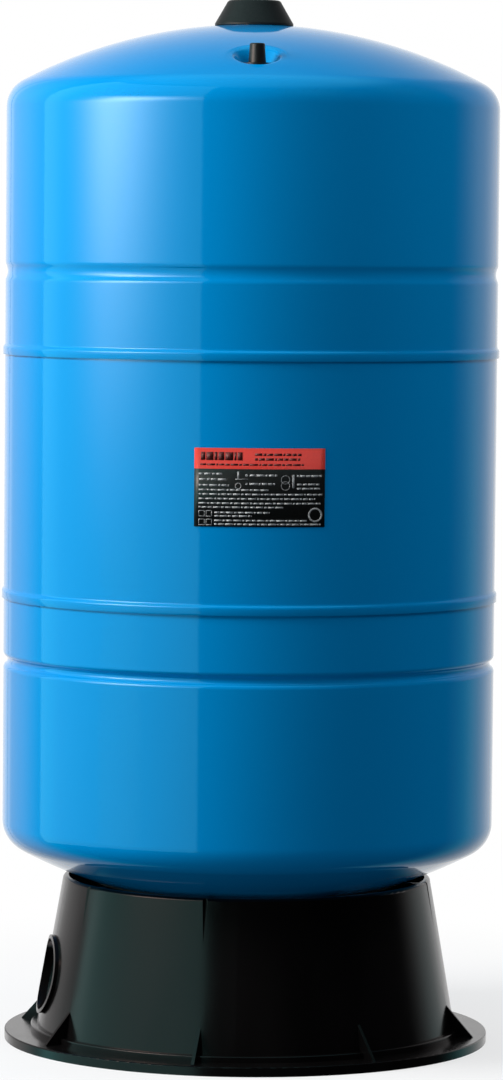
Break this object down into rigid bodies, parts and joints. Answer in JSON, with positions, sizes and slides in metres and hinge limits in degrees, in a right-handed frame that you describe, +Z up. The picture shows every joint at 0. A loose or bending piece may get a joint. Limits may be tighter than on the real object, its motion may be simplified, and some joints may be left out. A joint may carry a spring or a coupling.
{
  "type": "well pressure tank",
  "caption": "Upright steel well pressure tank with a rubber diaphragm, top air valve and a moulded black stand with a side port.",
  "frame": {"origin": "on the floor, at the middle of the stand's foot", "axes": "+Z up along the tank's axis; -Y is the front with the label; the water connection leaves near -X"},
  "size_m": [0.3932, 0.3932, 0.8247],
  "materials": {
    "blue_paint": "gloss",
    "label_film": "gloss",
    "black_plastic": "satin",
    "stand_plastic": "satin",
    "plain_steel": "plain",
    "stainless": "machined",
    "valve_brass": "machined",
    "seal_rubber": "matte",
    "butyl_rubber": "matte",
    "liner_plastic": "natural"
  },
  "bodies": {
    "tank": {"upper_shell": "blue_paint", "middle_shell": "blue_paint", "lower_shell": "blue_paint", "label": "label_film", "valve_washer": "black_plastic", "stand": "stand_plastic", "crown_boss": "plain_steel", "valve_stem": "valve_brass", "valve_seal": "seal_rubber", "valve_nut": "valve_brass", "core_body": "valve_brass", "core_spring": "plain_steel", "core_ring": "seal_rubber", "diaphragm": "butyl_rubber", "water_liner": "liner_plastic", "clench_ring": "plain_steel", "inlet_fitting": "stainless", "inlet_gasket": "seal_rubber", "elbow_gasket": "seal_rubber", "water_elbow": "stainless", "outlet_coupling": "stainless", "stand_adhesive": "seal_rubber"},
    "valve_cap": {"valve_cap": "black_plastic", "cap_seal": "seal_rubber"},
    "crown_cap": {"crown_cap": "black_plastic"},
    "core_pin": {"core_pin": "plain_steel", "core_cup": "seal_rubber"}
  },
  "joints": [
    {"name": "valve_cap_lift", "type": "slide", "parent": "tank", "child": "valve_cap", "axis": [0, 0, 1], "range_m": [0, 0.02]},
    {"name": "crown_cap_pull", "type": "slide", "parent": "tank", "child": "crown_cap", "axis": [0, 0, 1], "range_m": [0, 0.03]},
    {"name": "core_press", "type": "slide", "parent": "tank", "child": "core_pin", "axis": [0, 0, -1], "range_m": [0, 0.0012], "stiffness_N_per_m": 900, "springref_m": -0.002, "deforming": ["core_spring"]}
  ]
}
